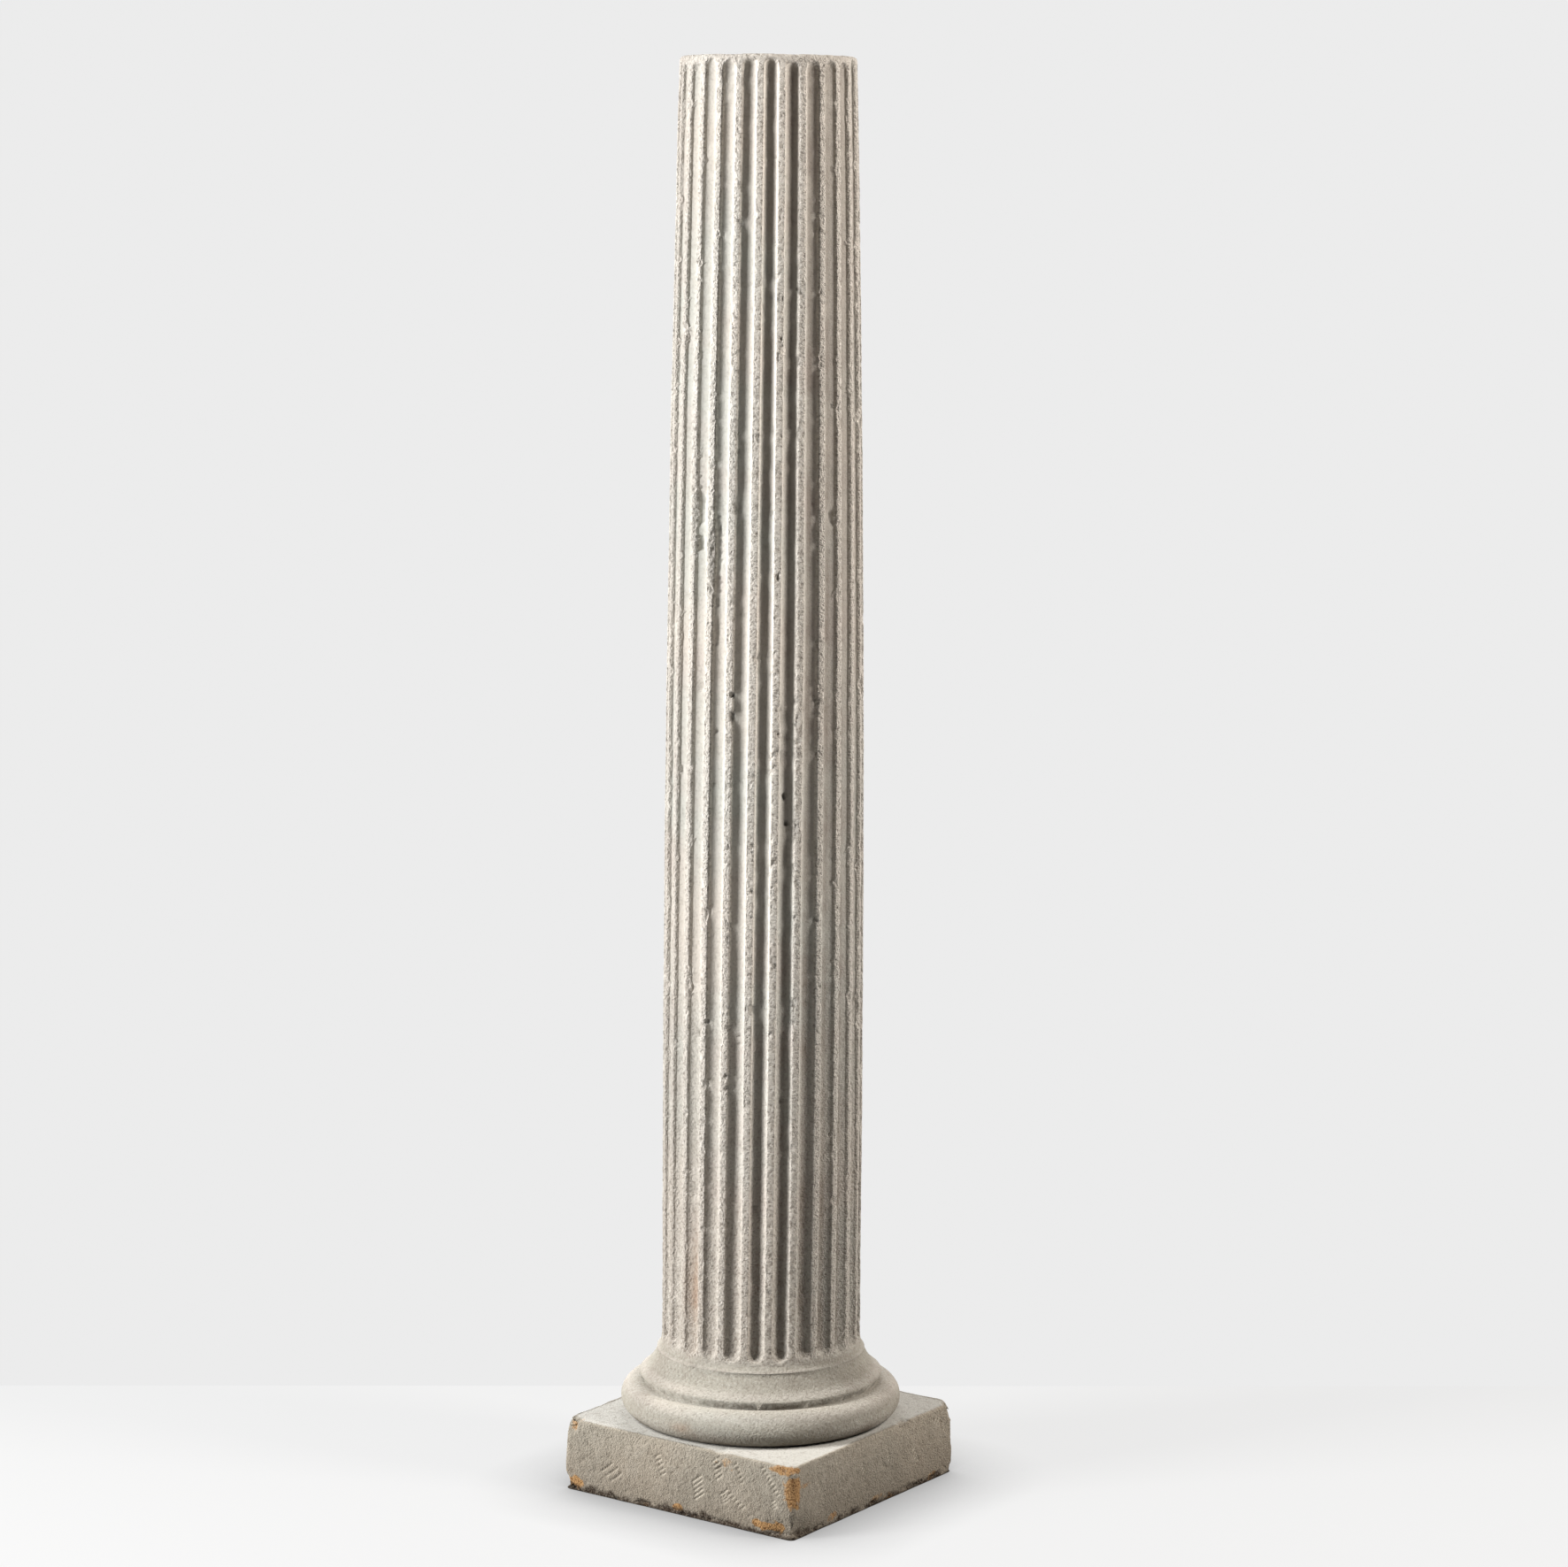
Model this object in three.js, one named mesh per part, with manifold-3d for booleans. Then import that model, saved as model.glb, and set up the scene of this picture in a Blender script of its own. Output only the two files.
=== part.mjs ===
// A fluted stone column: a tapering shaft with its base mouldings, standing on a square plinth.
// Millimetres, +Z up. The origin is the centre of the plinth's underside, with its sides along X and Y.
import * as THREE from 'three';
import { mergeVertices } from 'three/addons/utils/BufferGeometryUtils.js';
import Module from 'manifold-3d';

// Overall sizes
const TOTAL_HEIGHT = 1810;
const BED_JOINT = 0.3;

// Plinth: a square block with worn edges
const PLINTH_SIDE = 360;
const PLINTH_HEIGHT = 92;
const PLINTH_CORNER_WEAR = 9;
const PLINTH_EDGE_WEAR = 3;
const PLINTH_CURVE_STEPS = 4;
const PLINTH_EDGE_STEPS = 2;

// The chip broken from the plinth's lower front corner
const CHIP_DEPTH = 11;
const CHIP_WIDTH = 60;
const CHIP_HEIGHT = 36;

// Torus: half-round below, a little flatter above
const TORUS_RADIUS = 179.3;
const TORUS_ROUND = 22.9;
const TORUS_UPPER_RISE = 22;

// Undercut fillet above the torus, and the lip over it
const FILLET_FOOT_RADIUS = 149.3;
const LIP_RADIUS = 155.5;
const LIP_HEIGHT = 148;
const LIP_THICKNESS = 2.5;

// Hollowed slope from the lip up to the cincture
const CAVETTO_SAG = 2.2;
const CINCTURE_RADIUS = 133;
const CINCTURE_BOTTOM = 177;
const CINCTURE_TOP = 180.5;
const CINCTURE_ROUND = 0.8;

// Shaft: straight at the foot, then drawn in by a gentle swelling curve
const SHAFT_FOOT_RADIUS = 127;
const SHAFT_TOP_RADIUS = 109.3;
const SWELL_START = 430;
const FLARE_RADIUS = 131.8;
const FLARE_TOP = 198;
const RIM_WEAR = 6;

// Flutes, parted by flat fillets, with round ends
const FLUTE_COUNT = 26;
const FILLET_SHARE = 0.29;
const FLUTE_DEPTH_SHARE = 0.9;
const FLUTE_BOTTOM_END = 191;
const FLUTE_TOP_END = 1803;
const LEAN_DEGREES_PER_METRE = 3;
const UPRIGHT_HEIGHT = 721;

// Fineness of the mesh
const ACROSS_FLUTE = [-1, -0.77, -0.29, 0.29, 0.77, 1];
const UP_FLUTE_END = [0, 0.6381, 0.9571];
const SHAFT_HEIGHTS = [430, 760, 1060, 1340, 1590];
const MOULDING_SEGMENTS = 78;
const MOULDING_CURVE_STEPS = 3;
const RIM_STEPS = 2;

// How far the shaft's foot reaches down into the mouldings before both are joined into one stone
const STUB_RADIUS = 122;
const STUB_DEPTH = 18;
const STUB_SHOULDER = 2.5;
const STUB_RISE = 0.3;

const wasm = await Module();
wasm.setup();

const PITCH = 2 * Math.PI / FLUTE_COUNT;
const FLUTE_HALF_ANGLE = PITCH * (1 - FILLET_SHARE) / 2;
const SHAFT_COLUMNS = FLUTE_COUNT * ACROSS_FLUTE.length;

// A closed mesh with shared vertices, from any geometry
function welded(geometry) {
  const plain = geometry.index ? geometry.toNonIndexed() : geometry.clone();
  plain.deleteAttribute('normal');
  plain.deleteAttribute('uv');
  return mergeVertices(plain, 1e-3);
}

// Drops the triangles that have closed up to a line or a point
function withoutSlivers(geometry) {
  const kept = [];
  const index = geometry.index.array;
  for (let i = 0; i < index.length; i += 3) {
    const [a, b, c] = [index[i], index[i + 1], index[i + 2]];
    if (a !== b && b !== c && c !== a) {
      kept.push(a, b, c);
    }
  }
  geometry.setIndex(kept);
  return geometry;
}

function toManifold(geometry) {
  const mesh = withoutSlivers(welded(geometry));
  const vertProperties = new Float32Array(mesh.attributes.position.array);
  const triVerts = new Uint32Array(mesh.index.array);
  return new wasm.Manifold(new wasm.Mesh({ numProp: 3, vertProperties, triVerts }));
}

function fromManifold(solid) {
  const mesh = solid.getMesh();
  const geometry = new THREE.BufferGeometry();
  geometry.setAttribute('position', new THREE.BufferAttribute(mesh.vertProperties, 3));
  geometry.setIndex(new THREE.BufferAttribute(mesh.triVerts, 1));
  geometry.computeVertexNormals();
  return geometry;
}

// Turns a profile of (radius, height) points about +Z
function turned(profile, segments) {
  return new THREE.LatheGeometry(profile, segments).rotateX(Math.PI / 2);
}

function shaftRadius(height) {
  if (height < FLARE_TOP) {
    const rise = 1 - (height - CINCTURE_TOP) / (FLARE_TOP - CINCTURE_TOP);
    const turn = Math.acos(THREE.MathUtils.clamp(rise, 0, 1));
    return FLARE_RADIUS - (FLARE_RADIUS - SHAFT_FOOT_RADIUS) * Math.sin(turn);
  }
  const climb = THREE.MathUtils.clamp((height - SWELL_START) / (TOTAL_HEIGHT - SWELL_START), 0, 1);
  return SHAFT_FOOT_RADIUS - (SHAFT_FOOT_RADIUS - SHAFT_TOP_RADIUS) * climb * climb;
}

function fluteHalfWidth(height) {
  return shaftRadius(height) * FLUTE_HALF_ANGLE;
}

// Depth of a flute, as a share of its greatest depth, at a share of its half width from the middle
function hollow(offCentre) {
  if (offCentre >= 1) {
    return 0;
  }
  const halfTurn = 2 * Math.atan(FLUTE_DEPTH_SHARE);
  const reach = 1 / Math.sin(halfTurn);
  const drop = Math.sqrt(reach * reach - offCentre * offCentre) - reach * Math.cos(halfTurn);
  return drop / (reach * (1 - Math.cos(halfTurn)));
}

const LOWER_HALF_WIDTH = SHAFT_FOOT_RADIUS * FLUTE_HALF_ANGLE;
const UPPER_HALF_WIDTH = fluteHalfWidth(FLUTE_TOP_END);
const LOWER_CENTRE = FLUTE_BOTTOM_END + LOWER_HALF_WIDTH;
const UPPER_CENTRE = FLUTE_TOP_END - UPPER_HALF_WIDTH;

function fluteDepth(across, height) {
  const below = Math.max(0, LOWER_CENTRE - height) / LOWER_HALF_WIDTH;
  const above = Math.max(0, height - UPPER_CENTRE) / UPPER_HALF_WIDTH;
  const offCentre = Math.hypot(across, below, above);
  return FLUTE_DEPTH_SHARE * fluteHalfWidth(height) * hollow(offCentre);
}

// The angle by which the flutes have drifted round the shaft at a height
function lean(height) {
  return THREE.MathUtils.degToRad(LEAN_DEGREES_PER_METRE) * (height - UPRIGHT_HEIGHT) / 1000;
}

function shaftProfile() {
  const lowerEnds = UP_FLUTE_END.map((share) => LOWER_CENTRE - share * LOWER_HALF_WIDTH).reverse();
  const upperEnds = UP_FLUTE_END.map((share) => UPPER_CENTRE + share * UPPER_HALF_WIDTH);
  const flareMiddle = (CINCTURE_TOP + FLUTE_BOTTOM_END) / 2;
  const heights = [flareMiddle, ...lowerEnds, ...SHAFT_HEIGHTS, ...upperEnds];
  const rimRadius = SHAFT_TOP_RADIUS - RIM_WEAR;
  const rim = new THREE.EllipseCurve(rimRadius, TOTAL_HEIGHT - RIM_WEAR, RIM_WEAR, RIM_WEAR, 0, Math.PI / 2);
  return [
    new THREE.Vector2(0, CINCTURE_TOP - STUB_DEPTH),
    new THREE.Vector2(STUB_RADIUS, CINCTURE_TOP - STUB_DEPTH),
    new THREE.Vector2(FLARE_RADIUS, CINCTURE_TOP - STUB_SHOULDER),
    new THREE.Vector2(FLARE_RADIUS, CINCTURE_TOP + STUB_RISE),
    ...heights.map((height) => new THREE.Vector2(shaftRadius(height), height)),
    ...rim.getPoints(RIM_STEPS),
    new THREE.Vector2(0, TOTAL_HEIGHT),
  ];
}

// The turned shaft, with its columns of vertices moved to the fillets' edges and the flutes sunk
function flutedShaft() {
  const geometry = turned(shaftProfile(), SHAFT_COLUMNS);
  const position = geometry.attributes.position;
  const ringLength = position.count / (SHAFT_COLUMNS + 1);
  for (let i = 0; i < position.count; i += 1) {
    const column = Math.floor(i / ringLength) % SHAFT_COLUMNS;
    const flute = Math.floor(column / ACROSS_FLUTE.length);
    const across = ACROSS_FLUTE[column % ACROSS_FLUTE.length];
    const height = position.getZ(i);
    const plainRadius = Math.hypot(position.getX(i), position.getY(i));
    const carved = height > FLUTE_BOTTOM_END && height < FLUTE_TOP_END;
    const radius = plainRadius - (carved ? fluteDepth(Math.abs(across), height) : 0);
    const angle = PITCH * (flute + 0.5) + across * FLUTE_HALF_ANGLE + lean(height);
    position.setXYZ(i, radius * Math.sin(angle), -radius * Math.cos(angle), height);
  }
  return geometry;
}

function mouldingProfile() {
  const bed = PLINTH_HEIGHT + BED_JOINT;
  const torusCentre = TORUS_RADIUS - TORUS_ROUND;
  const torusMiddle = bed + TORUS_ROUND;
  const footTurn = Math.acos((FILLET_FOOT_RADIUS - torusCentre) / TORUS_ROUND);
  const slopeTop = new THREE.Vector2(CINCTURE_RADIUS - CINCTURE_ROUND, CINCTURE_BOTTOM);
  const slopeFoot = new THREE.Vector2(LIP_RADIUS - CINCTURE_ROUND, LIP_HEIGHT);
  const inward = new THREE.Vector2(slopeFoot.y - slopeTop.y, slopeTop.x - slopeFoot.x).normalize();
  const control = slopeTop.clone().add(slopeFoot).divideScalar(2).addScaledVector(inward, 2 * CAVETTO_SAG);
  const path = new THREE.Path();
  path.moveTo(0, bed);
  path.lineTo(torusCentre, bed);
  path.absellipse(torusCentre, torusMiddle, TORUS_ROUND, TORUS_ROUND, -Math.PI / 2, 0);
  path.absellipse(torusCentre, torusMiddle, TORUS_ROUND, TORUS_UPPER_RISE, 0, footTurn);
  path.lineTo(LIP_RADIUS - CINCTURE_ROUND, LIP_HEIGHT - LIP_THICKNESS);
  path.lineTo(LIP_RADIUS, LIP_HEIGHT - LIP_THICKNESS / 2);
  path.lineTo(slopeFoot.x, slopeFoot.y);
  path.quadraticCurveTo(control.x, control.y, slopeTop.x, slopeTop.y);
  path.lineTo(CINCTURE_RADIUS, CINCTURE_BOTTOM + CINCTURE_ROUND);
  path.lineTo(CINCTURE_RADIUS, CINCTURE_TOP - CINCTURE_ROUND);
  path.lineTo(CINCTURE_RADIUS - CINCTURE_ROUND, CINCTURE_TOP);
  path.lineTo(0, CINCTURE_TOP);
  return path.getPoints(MOULDING_CURVE_STEPS);
}

function columnGeometry() {
  const mouldings = toManifold(turned(mouldingProfile(), MOULDING_SEGMENTS));
  return fromManifold(toManifold(flutedShaft()).add(mouldings));
}

function roundedSquare(side, corner) {
  const half = side / 2;
  const inner = half - corner;
  const shape = new THREE.Shape();
  shape.moveTo(inner, -half);
  shape.absarc(inner, -inner, corner, -Math.PI / 2, 0);
  shape.absarc(inner, inner, corner, 0, Math.PI / 2);
  shape.absarc(-inner, inner, corner, Math.PI / 2, Math.PI);
  shape.absarc(-inner, -inner, corner, Math.PI, 1.5 * Math.PI);
  return shape;
}

function plinthBlock() {
  const outline = roundedSquare(PLINTH_SIDE - 2 * PLINTH_EDGE_WEAR, PLINTH_CORNER_WEAR - PLINTH_EDGE_WEAR);
  const block = new THREE.ExtrudeGeometry(outline, {
    depth: PLINTH_HEIGHT - 2 * PLINTH_EDGE_WEAR,
    curveSegments: PLINTH_CURVE_STEPS,
    bevelThickness: PLINTH_EDGE_WEAR,
    bevelSize: PLINTH_EDGE_WEAR,
    bevelSegments: PLINTH_EDGE_STEPS,
  });
  return block.translate(0, 0, PLINTH_EDGE_WEAR);
}

// A leaning block over the plinth's lower front corner: what it overlaps has broken away
function cornerChip() {
  const cornerReach = PLINTH_SIDE / Math.SQRT2 - PLINTH_CORNER_WEAR * (Math.SQRT2 - 1);
  const chip = new THREE.BoxGeometry(CHIP_WIDTH, CHIP_WIDTH, 2 * PLINTH_HEIGHT);
  chip.translate(CHIP_WIDTH / 2, 0, 0);
  chip.rotateY(Math.atan(CHIP_DEPTH / CHIP_HEIGHT));
  chip.translate(cornerReach - CHIP_DEPTH, 0, 0);
  return chip.rotateZ(-Math.PI / 4);
}

function plinthGeometry() {
  return fromManifold(toManifold(plinthBlock()).subtract(toManifold(cornerChip())));
}

function stonePiece(name, geometry, colour, roughness) {
  const material = new THREE.MeshStandardMaterial({ color: colour, roughness, metalness: 0 });
  const mesh = new THREE.Mesh(geometry, material);
  mesh.name = name;
  return mesh;
}

const column = new THREE.Group();
column.add(stonePiece('plinth', plinthGeometry(), 0xa5987f, 0.95));
column.add(stonePiece('fluted_shaft', columnGeometry(), 0xcfc6b4, 0.9));

export default column;
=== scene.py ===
"""A weathered fluted stone column, without its capital, on a square tooled plinth."""

import itertools
import math

import bpy
import numpy as np
from mathutils import Matrix, Vector


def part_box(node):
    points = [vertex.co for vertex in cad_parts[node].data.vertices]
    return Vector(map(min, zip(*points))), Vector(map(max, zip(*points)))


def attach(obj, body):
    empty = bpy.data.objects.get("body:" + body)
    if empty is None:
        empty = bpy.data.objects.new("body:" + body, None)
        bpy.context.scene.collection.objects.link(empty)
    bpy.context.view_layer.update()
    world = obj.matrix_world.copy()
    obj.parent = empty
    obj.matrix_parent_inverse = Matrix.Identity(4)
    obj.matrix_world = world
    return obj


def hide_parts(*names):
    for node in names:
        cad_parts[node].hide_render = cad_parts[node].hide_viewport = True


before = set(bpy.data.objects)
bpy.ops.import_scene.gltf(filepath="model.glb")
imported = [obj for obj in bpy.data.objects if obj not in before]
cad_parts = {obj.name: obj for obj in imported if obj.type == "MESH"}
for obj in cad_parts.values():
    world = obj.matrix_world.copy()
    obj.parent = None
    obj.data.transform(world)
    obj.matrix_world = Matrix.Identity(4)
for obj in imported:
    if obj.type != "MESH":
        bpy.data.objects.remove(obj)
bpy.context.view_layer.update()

# Units: shapes are worked out in millimetres and turned into metres when a mesh is made
MM = 0.001
SHAFT_LOW, SHAFT_HIGH = (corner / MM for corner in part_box("fluted_shaft"))
PLINTH_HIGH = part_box("plinth")[1] / MM

# Plinth
PLINTH_HALF = PLINTH_HIGH.x
PLINTH_SIDE = 2 * PLINTH_HALF
PLINTH_HEIGHT = PLINTH_HIGH.z
PLINTH_CELL = 1.3
PLINTH_TRIANGLES = 190000
PLINTH_CORNER_WEAR = 9
PLINTH_EDGE_WEAR = 3
CHIP_DEPTH = 8.8
CHIP_HEIGHT = 36
BED_RADIUS = 152

# Moulded base
TOP = SHAFT_HIGH.z
BED = SHAFT_LOW.z
TORUS_RADIUS = 179.3
TORUS_ROUND = 22.9
TORUS_UPPER_RISE = 22
FILLET_FOOT_RADIUS = 149.3
LIP_RADIUS = 155.5
LIP_HEIGHT = 148
LIP_THICKNESS = 2.5
CAVETTO_SAG = 2.2
CINCTURE_RADIUS = 133
CINCTURE_BOTTOM = 177
CINCTURE_TOP = 180.5
CINCTURE_ROUND = 0.8
CINCTURE_BEVEL = 1.9
CINCTURE_GROOVE = 2.2

# Shaft
SHAFT_FOOT_RADIUS = 127
SHAFT_TOP_RADIUS = 109.3
SWELL_START = 430
FLARE_RADIUS = 131.8
FLARE_TOP = 198
RIM_WEAR = 6
SHAFT_ROW = 2.4
COLUMN_TRIANGLES = 196000

# Flutes
FLUTE_COUNT = 26
PITCH = 360 / FLUTE_COUNT
FILLET_SHARE = 0.29
FLUTE_DEPTH_SHARE = 0.9
FLUTE_BOTTOM_END = 191
FLUTE_TOP_END = 1806
LEAN_PER_METRE = 3
UPRIGHT_HEIGHT = 721
EDGE_SOFTNESS = 0.35
HALF_ANGLE = math.radians(PITCH * (1 - FILLET_SHARE) / 2)
HALF_TURN = 2 * math.atan(FLUTE_DEPTH_SHARE)
LOWER_HALF_WIDTH = SHAFT_FOOT_RADIUS * HALF_ANGLE
UPPER_HALF_WIDTH = SHAFT_TOP_RADIUS * HALF_ANGLE
LOWER_CENTRE = FLUTE_BOTTOM_END + LOWER_HALF_WIDTH
UPPER_CENTRE = FLUTE_TOP_END - UPPER_HALF_WIDTH
MOST_DROP = 7
MOST_RISE = 1.5
FLUTE_DROPS = np.random.default_rng(26).uniform(0, MOST_DROP, FLUTE_COUNT)
FLUTE_RISES = np.random.default_rng(27).uniform(-MOST_RISE, MOST_RISE, FLUTE_COUNT)

# Where the mesh has its upright lines: shares of half a fillet and of half a flute
FILLET_LINES = np.array([-1, -0.88, -0.66, -0.33, 0, 0.33, 0.66, 0.88, 1])
FLUTE_LINES = np.array([-0.95, -0.82, -0.55, -0.2, 0.2, 0.55, 0.82, 0.95])

# Wear of the shaft, lumps, heights and depths in mm
WEAR_FOOT = (FLUTE_BOTTOM_END - 8, FLUTE_BOTTOM_END + 4)
BED_BAND = (BED + 0.5, BED + 6)
WANDER = 0.3
WANDER_LUMP = 14
WANDER_STRETCH = (1, 1, 0.06)
BATTERED_LUMP = 150
BATTERED_SPAN = (-0.1, 0.75)
BATTERED_HEIGHTS = (1750, 1300)
ERODED_TURN = -58
ERODED_SPREAD = 34
ERODED_HEIGHTS = (520, 205)
ERODED_FILL = 0.3
EDGE_PLACE = 1.05
EDGE_BAND = 2.4
PLAIN_EDGE = 0.7
BATTERED_EDGE = 1.2
ERODED_EDGE = 2.4
BITE_LUMP = 8
BITE_STRETCH = (1, 1, 0.7)
BITE_GAP = (0.33, 0.6)
BITE_DEPTH = 4.0
PLAIN_BITE = 0.6
BATTERED_BITE = 1.4
POCK_LUMP = 6
POCK_GAP = (0.62, 0.5)
POCK_DEPTH = 1.6
FILLET_SPAN = (0.9, 1.25)
FILLET_GRAIN = 4.5
FILLET_GRAIN_DEPTH = 0.28
SKIN_LUMP = 7
SKIN_DEPTH = 0.14
SWAY_LUMP = 95
SWAY_DEPTH = 0.45
RIM_BAND = (TOP - 16, TOP - 4)
RIM_SHARE = 0.8
RIM_LUMP = 24
RIM_GAP = (0.15, 0.8)
RIM_LOSS = 2.6
WORN_BEAD_TURN = -62
WORN_BEAD_SPREAD = 26
WORN_BEAD_HEIGHT = 178.7
WORN_BEAD_HALF_HEIGHT = 2
WORN_BEAD_DEPTH = 0.9
SCAR_LUMPS = (5, 2.6)
SCAR_RAGGEDNESS = (0.45, 0.25)
SCAR_SLOPE = 0.7

# Camera, in a frame turned about the axis so that the view runs along +Y
VIEW_TURN = 35.924
CAMERA_LENS = 94.38
CAMERA_SENSOR = 36
CAMERA_DISTANCE = 5.130
CAMERA_HEIGHT = 1.638
CAMERA_PITCH = 8.108
CAMERA_ROLL = 0.384
CAMERA_YAW = 0.277

# Losses on the shaft: degrees to the right of the view, height, half width, half height and depth in mm
SCARS = [
    (-45, 1258, 8, 34, 5.5), (-45, 1215, 5, 14, 6), (-31.5, 1205, 8, 66, 4.5),
    (-31, 1170, 5, 45, 2.5), (-31, 1110, 5, 20, 2), (-17.5, 1262, 4, 9, 3),
    (32, 1268, 4, 7, 3), (45, 1252, 4, 14, 4), (33, 1598, 4, 6, 2.5),
    (-60, 1480, 4, 8, 3), (-22, 1373, 3, 3, 3), (41.3, 1312, 3, 3, 3),
    (37.3, 1286, 2.5, 2.5, 3), (38, 1367, 2.5, 3, 3), (-17, 1332, 3, 4, 2.5),
    (4, 1258, 3, 5, 2.5), (7, 1178, 4, 6, 3.5), (8.5, 1468, 3, 5, 2.5),
    (32.5, 1098, 2.5, 2.5, 3), (41, 1038, 2.5, 3, 3), (37, 1053, 2.5, 2.5, 2.5),
    (40, 1026, 2.5, 2.5, 3), (-43, 1040, 4, 7, 3.5), (-32, 986, 4, 5, 3),
    (-32, 920, 3, 5, 3), (-20.5, 843, 3, 5, 2.5), (11.5, 908, 4, 4, 5),
    (14, 874, 3.5, 4, 5), (19, 975, 4, 7, 2.5), (22, 945, 4, 8, 2.5),
    (7.5, 986, 3, 4, 2.5), (-60, 932, 3, 10, 3), (32.5, 960, 3, 8, 2.5),
    (75, 1038, 6, 9, 4.5), (70, 638, 5, 8, 4), (-48, 662, 5, 8, 4.5),
    (-42, 603, 4.5, 5, 7), (-15, 606, 3, 3, 3), (-14, 597, 2.5, 3, 3),
    (34, 745, 2, 2, 2.5), (33.5, 715, 2.2, 2.5, 2.5), (34.5, 690, 2.5, 3, 3),
    (33.5, 668, 2.5, 3, 3), (59, 650, 3, 4, 3), (10.5, 524, 3, 4, 3),
    (-50, 496, 3, 4, 3), (-44.5, 400, 3, 9, 3.5), (-4.5, 390, 3, 3, 3),
    (-36, 357, 3, 4, 3), (45, 392, 3, 4, 3), (44, 475, 3, 6, 3),
]

# Cracks in the shaft: degrees to the right of the view and height in mm, at both ends
CRACKS = [((-47, 430), (-55, 412)), ((35.3, 780), (35.5, 730))]
CRACK_HALF_WIDTH = 1.4
CRACK_DEPTH = 2.5

# Claw-chisel strokes on two faces: first and last stroke (mm along, mm up), count, length, slant
LEFT_CLAWS = [
    ((241, 82), (247, 60), 5, 15, 38), ((213, 52), (217, 30), 5, 20, 38),
    ((252, 40), (258, 31), 4, 12, 38), ((258, 45), (284, 28), 6, 9, 38),
    ((314, 85), (338, 55), 8, 8, 38), ((330, 45), (334, 38), 3, 9, 38),
    ((272, 82), (282, 60), 5, 8, 38), ((70, 40), (85, 30), 3, 26, 38),
    ((150, 70), (160, 48), 5, 12, 34),
]
RIGHT_CLAWS = [
    ((244.6, 85), (244.6, 85), 1, 14, 88), ((314, 82), (341, 64), 6, 14, 48),
    ((52, 70), (60, 52), 4, 8, 42), ((96, 76), (104, 58), 4, 7, 42),
    ((150, 60), (158, 44), 4, 8, 42), ((205, 72), (212, 52), 5, 7, 42),
    ((268, 50), (276, 34), 4, 9, 42),
]
CLAW_HALF_WIDTH = 1.5
CLAW_DEPTH = 2.0
CLAW_END_SPAN = (-1, 2.5)
FACE_SKIN = 2

# Made-up strokes on the two hidden faces: from and to, in mm and degrees
STRAY_CLAW_GROUPS = 9
STRAY_CLAW_ALONG = (25, PLINTH_SIDE - 40)
STRAY_CLAW_UP = (38, PLINTH_HEIGHT - 10)
STRAY_CLAW_COUNTS = (3, 7)
STRAY_CLAW_LENGTHS = (8, 18)
STRAY_CLAW_SLANTS = (32, 44)
STRAY_CLAW_STEP = (1.5, -4.2)

# Wear of the plinth, lumps and depths in mm
CORNER_LUMP = 30
CORNER_SWAY = 4
EDGE_LUMPS = (26, 9)
EDGE_SWAYS = (1.6, 1.1)
FACE_LUMPS = (80, 16, 5)
FACE_DEPTHS = (0.7, 0.55, 0.3)
FLAT_SHARE = 0.35
PLINTH_PIT_LUMP = 8
PLINTH_PIT_GAP = (0.5, 0.6)
PLINTH_PIT_DEPTH = 1.4
FOOT_LUMP = 15
FOOT_STRETCH = (1, 1, 0.6)
FOOT_LIFT = 0.35
FOOT_MOST = 1.2
FOOT_RISE = 11
FOOT_LOSS = 4.2
CHIP_SPAN = (34, 12)

# Stone lost from the plinth's corners: place in mm, reach and depth
CORNER_LOSSES = [
    ((-180, -180, 92), 24, 10), ((-180, -180, 4), 18, 7), ((180, 180, 92), 20, 9),
    ((180, -180, 92), 12, 3), ((180, 180, 0), 16, 5), ((-180, 180, 92), 22, 8),
    ((64, -180, 94), 16, 3), ((180, 66, 95), 18, 4),
]
CORNER_RAGGED_LUMP = 14
CORNER_RAGGEDNESS = 0.35
CORNER_FULL_SHARE = 0.25

# Rust on the plinth: mm along a face, mm up, half length, half height, strength
LEFT_RUST = [
    (14, 84, 12, 12, 0.55), (18, 10, 20, 9, 0.8), (181, 10, 11, 6, 1.0), (320, 12, 22, 7, 0.95),
    (357, 62, 9, 28, 0.9), (345, 87, 26, 7, 0.7), (256, 84, 16, 12, 0.45),
]
RIGHT_RUST = [
    (3, 62, 5, 28, 0.8), (27, 65, 14, 6, 0.4), (84, 10, 18, 7, 0.45), (187, 10, 14, 6, 0.5),
]
RUST_LUMP = 9
RUST_RAGGEDNESS = 0.5
RUST_FADE = (1.25, 0.45)
RUST_NEAR_FACE = (PLINTH_HALF - 22, PLINTH_HALF - 10)
FOOT_RUST = 0.6
FOOT_RUST_LUMP = 30
FOOT_RUST_SPAN = (0.35, 0.8)
FOOT_RUST_HEIGHTS = (16, 6)
FOOT_DIRT_LUMP = 14
FOOT_DIRT_SWAY = 7
FOOT_DIRT_HEIGHTS = (9, 2)
FOOT_DIRT_INWARD = (14, 6)
PALE_TOP_HEIGHTS = (PLINTH_HEIGHT - 4, PLINTH_HEIGHT - 1)
PALE_TOP_INWARD = (2, 7)
PALE_STROKE_DEPTHS = (0.3 * CLAW_DEPTH, 0.9 * CLAW_DEPTH)
# A painted shadow ring on the plinth's top, in the crevice under the column's torus
JOINT_SHADOW = 0.6
JOINT_SHADOW_RADIUS = 160
JOINT_SHADOW_SPREAD = 4
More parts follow.
